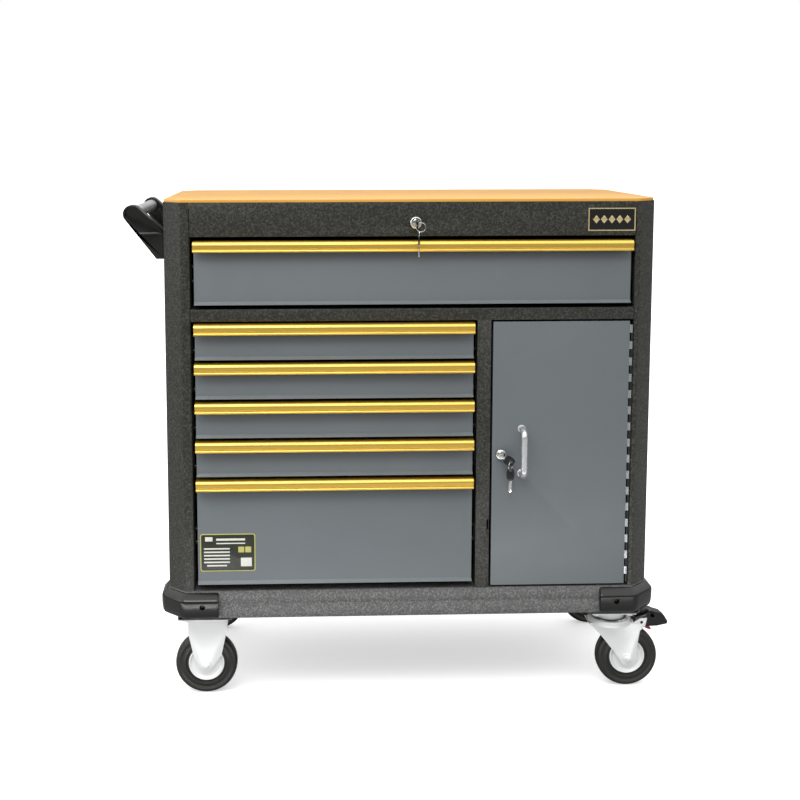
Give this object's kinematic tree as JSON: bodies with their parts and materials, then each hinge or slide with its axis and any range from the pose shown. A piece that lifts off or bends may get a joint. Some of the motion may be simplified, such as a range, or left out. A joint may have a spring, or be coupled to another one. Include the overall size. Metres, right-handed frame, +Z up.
{
  "type": "rolling tool chest",
  "caption": "Steel rolling tool chest with ball-slide drawers, a hinged cupboard, a board worktop, a side push handle and swivel casters with brakes.",
  "frame": {"origin": "under the middle of the bounding box, on the floor", "axes": "+X to the right seen from the front, +Y from the front to the back, +Z up"},
  "size_m": [1.118, 0.509, 1.026],
  "materials": {
    "black_powder_coat": "fine textured",
    "grey_powder_coat": "satin",
    "gold_anodised": "satin anodised",
    "board": "smooth lacquered board",
    "zinc_steel": "bright zinc",
    "chrome_steel": "polished",
    "bright_tube": "satin",
    "black_plastic": "fine grain",
    "key_plastic": "moulded",
    "badge_black": "domed with a pale gold frame",
    "tyre_rubber": "moulded rubber"
  },
  "bodies": {
    "cabinet": {"side_panel_left": "black_powder_coat", "side_panel_right": "black_powder_coat", "back_panel": "black_powder_coat", "base_pan": "black_powder_coat", "top_pan": "black_powder_coat", "lock_fascia": "black_powder_coat", "middle_deck": "black_powder_coat", "center_post": "black_powder_coat", "cupboard_shelf": "black_powder_coat", "worktop": "board", "slide_uprights": "zinc_steel", "slide_outer_rails": "zinc_steel", "rigid_forks": "zinc_steel", "swivel_top_plates": "zinc_steel", "badge_plate": "badge_black", "handle_brackets": "black_plastic", "corner_bumpers": "black_plastic", "handle_tube": "bright_tube", "bumper_screws": "chrome_steel", "hinge_frame_leaf": "chrome_steel", "top_lock_barrel": "chrome_steel"},
    "drawer_1": {"drawer_1_tray": "grey_powder_coat", "drawer_1_pull": "gold_anodised"},
    "slide_1": {"slide_middle_1": "zinc_steel"},
    "drawer_2": {"drawer_2_tray": "grey_powder_coat", "drawer_2_pull": "gold_anodised"},
    "slide_2": {"slide_middle_2": "zinc_steel"},
    "drawer_3": {"drawer_3_tray": "grey_powder_coat", "drawer_3_pull": "gold_anodised"},
    "slide_3": {"slide_middle_3": "zinc_steel"},
    "drawer_4": {"drawer_4_tray": "grey_powder_coat", "drawer_4_pull": "gold_anodised"},
    "slide_4": {"slide_middle_4": "zinc_steel"},
    "drawer_5": {"drawer_5_tray": "grey_powder_coat", "drawer_5_pull": "gold_anodised"},
    "slide_5": {"slide_middle_5": "zinc_steel"},
    "drawer_6": {"drawer_6_tray": "grey_powder_coat", "drawer_6_pull": "gold_anodised"},
    "slide_6": {"slide_middle_6": "zinc_steel"},
    "door": {"door_panel": "grey_powder_coat", "door_handle": "chrome_steel", "hinge_door_leaf": "chrome_steel", "door_lock_barrel": "chrome_steel"},
    "door_plug": {"door_lock_plug": "chrome_steel", "door_key": "key_plastic"},
    "door_spare": {"door_spare_key": "key_plastic"},
    "top_plug": {"top_lock_plug": "chrome_steel", "top_key": "chrome_steel"},
    "wheel_front_left": {"hub_front_left": "zinc_steel", "tyre_front_left": "tyre_rubber"},
    "wheel_rear_left": {"hub_rear_left": "zinc_steel", "tyre_rear_left": "tyre_rubber"},
    "swivel_front": {"swivel_fork_front": "zinc_steel"},
    "wheel_front_right": {"hub_front_right": "zinc_steel", "tyre_front_right": "tyre_rubber"},
    "pedal_front": {"brake_pedal_front": "black_plastic"},
    "swivel_rear": {"swivel_fork_rear": "zinc_steel"},
    "wheel_rear_right": {"hub_rear_right": "zinc_steel", "tyre_rear_right": "tyre_rubber"},
    "pedal_rear": {"brake_pedal_rear": "black_plastic"}
  },
  "joints": [
    {"name": "drawer_1_slide", "type": "slide", "parent": "cabinet", "child": "drawer_1", "axis": [0, -1, 0], "range_m": [0, 0.36]},
    {"name": "slide_1_follow", "type": "slide", "parent": "cabinet", "child": "slide_1", "axis": [0, -1, 0], "range_m": [0, 0.18]},
    {"name": "drawer_2_slide", "type": "slide", "parent": "cabinet", "child": "drawer_2", "axis": [0, -1, 0], "range_m": [0, 0.36]},
    {"name": "slide_2_follow", "type": "slide", "parent": "cabinet", "child": "slide_2", "axis": [0, -1, 0], "range_m": [0, 0.18]},
    {"name": "drawer_3_slide", "type": "slide", "parent": "cabinet", "child": "drawer_3", "axis": [0, -1, 0], "range_m": [0, 0.36]},
    {"name": "slide_3_follow", "type": "slide", "parent": "cabinet", "child": "slide_3", "axis": [0, -1, 0], "range_m": [0, 0.18]},
    {"name": "drawer_4_slide", "type": "slide", "parent": "cabinet", "child": "drawer_4", "axis": [0, -1, 0], "range_m": [0, 0.36]},
    {"name": "slide_4_follow", "type": "slide", "parent": "cabinet", "child": "slide_4", "axis": [0, -1, 0], "range_m": [0, 0.18]},
    {"name": "drawer_5_slide", "type": "slide", "parent": "cabinet", "child": "drawer_5", "axis": [0, -1, 0], "range_m": [0, 0.36]},
    {"name": "slide_5_follow", "type": "slide", "parent": "cabinet", "child": "slide_5", "axis": [0, -1, 0], "range_m": [0, 0.18]},
    {"name": "drawer_6_slide", "type": "slide", "parent": "cabinet", "child": "drawer_6", "axis": [0, -1, 0], "range_m": [0, 0.36]},
    {"name": "slide_6_follow", "type": "slide", "parent": "cabinet", "child": "slide_6", "axis": [0, -1, 0], "range_m": [0, 0.18]},
    {"name": "door_hinge", "type": "hinge", "parent": "cabinet", "child": "door", "pos_m": [0.4533, -0.2165, 0.5], "axis": [0, 0, 1], "range_deg": [0, 150]},
    {"name": "door_lock_turn", "type": "hinge", "parent": "door", "child": "door_plug", "pos_m": [0.1935, -0.2165, 0.512], "axis": [0, 1, 0], "range_deg": [0, 90]},
    {"name": "spare_key_swing", "type": "hinge", "parent": "door_plug", "child": "door_spare", "pos_m": [0.2105, -0.2345, 0.5], "axis": [0, 1, 0], "range_deg": [-90, 0]},
    {"name": "top_lock_turn", "type": "hinge", "parent": "cabinet", "child": "top_plug", "pos_m": [0.02, -0.2165, 0.979], "axis": [0, 1, 0], "range_deg": [0, 90]},
    {"name": "wheel_front_left_spin", "type": "hinge", "parent": "cabinet", "child": "wheel_front_left", "pos_m": [-0.406, -0.1565, 0.06375], "axis": [0, 1, 0], "continuous": true},
    {"name": "wheel_rear_left_spin", "type": "hinge", "parent": "cabinet", "child": "wheel_rear_left", "pos_m": [-0.406, 0.1785, 0.06375], "axis": [0, 1, 0], "continuous": true},
    {"name": "swivel_front_turn", "type": "hinge", "parent": "cabinet", "child": "swivel_front", "pos_m": [0.437, -0.1565, 0.137], "axis": [0, 0, 1], "continuous": true},
    {"name": "wheel_front_right_spin", "type": "hinge", "parent": "swivel_front", "child": "wheel_front_right", "pos_m": [0.473, -0.1565, 0.06375], "axis": [0, 1, 0], "continuous": true},
    {"name": "pedal_front_press", "type": "hinge", "parent": "swivel_front", "child": "pedal_front", "pos_m": [0.5, -0.1565, 0.14], "axis": [0, 1, 0], "range_deg": [0, 14]},
    {"name": "swivel_rear_turn", "type": "hinge", "parent": "cabinet", "child": "swivel_rear", "pos_m": [0.437, 0.1785, 0.137], "axis": [0, 0, 1], "continuous": true},
    {"name": "wheel_rear_right_spin", "type": "hinge", "parent": "swivel_rear", "child": "wheel_rear_right", "pos_m": [0.473, 0.1785, 0.06375], "axis": [0, 1, 0], "continuous": true},
    {"name": "pedal_rear_press", "type": "hinge", "parent": "swivel_rear", "child": "pedal_rear", "pos_m": [0.5, 0.1785, 0.14], "axis": [0, 1, 0], "range_deg": [0, 14]}
  ],
  "couplings": [
    {"joint": "slide_1_follow", "follows": "drawer_1_slide", "ratio": 0.5},
    {"joint": "slide_2_follow", "follows": "drawer_2_slide", "ratio": 0.5},
    {"joint": "slide_3_follow", "follows": "drawer_3_slide", "ratio": 0.5},
    {"joint": "slide_4_follow", "follows": "drawer_4_slide", "ratio": 0.5},
    {"joint": "slide_5_follow", "follows": "drawer_5_slide", "ratio": 0.5},
    {"joint": "slide_6_follow", "follows": "drawer_6_slide", "ratio": 0.5},
    {"joint": "spare_key_swing", "follows": "door_lock_turn", "ratio": -1}
  ]
}
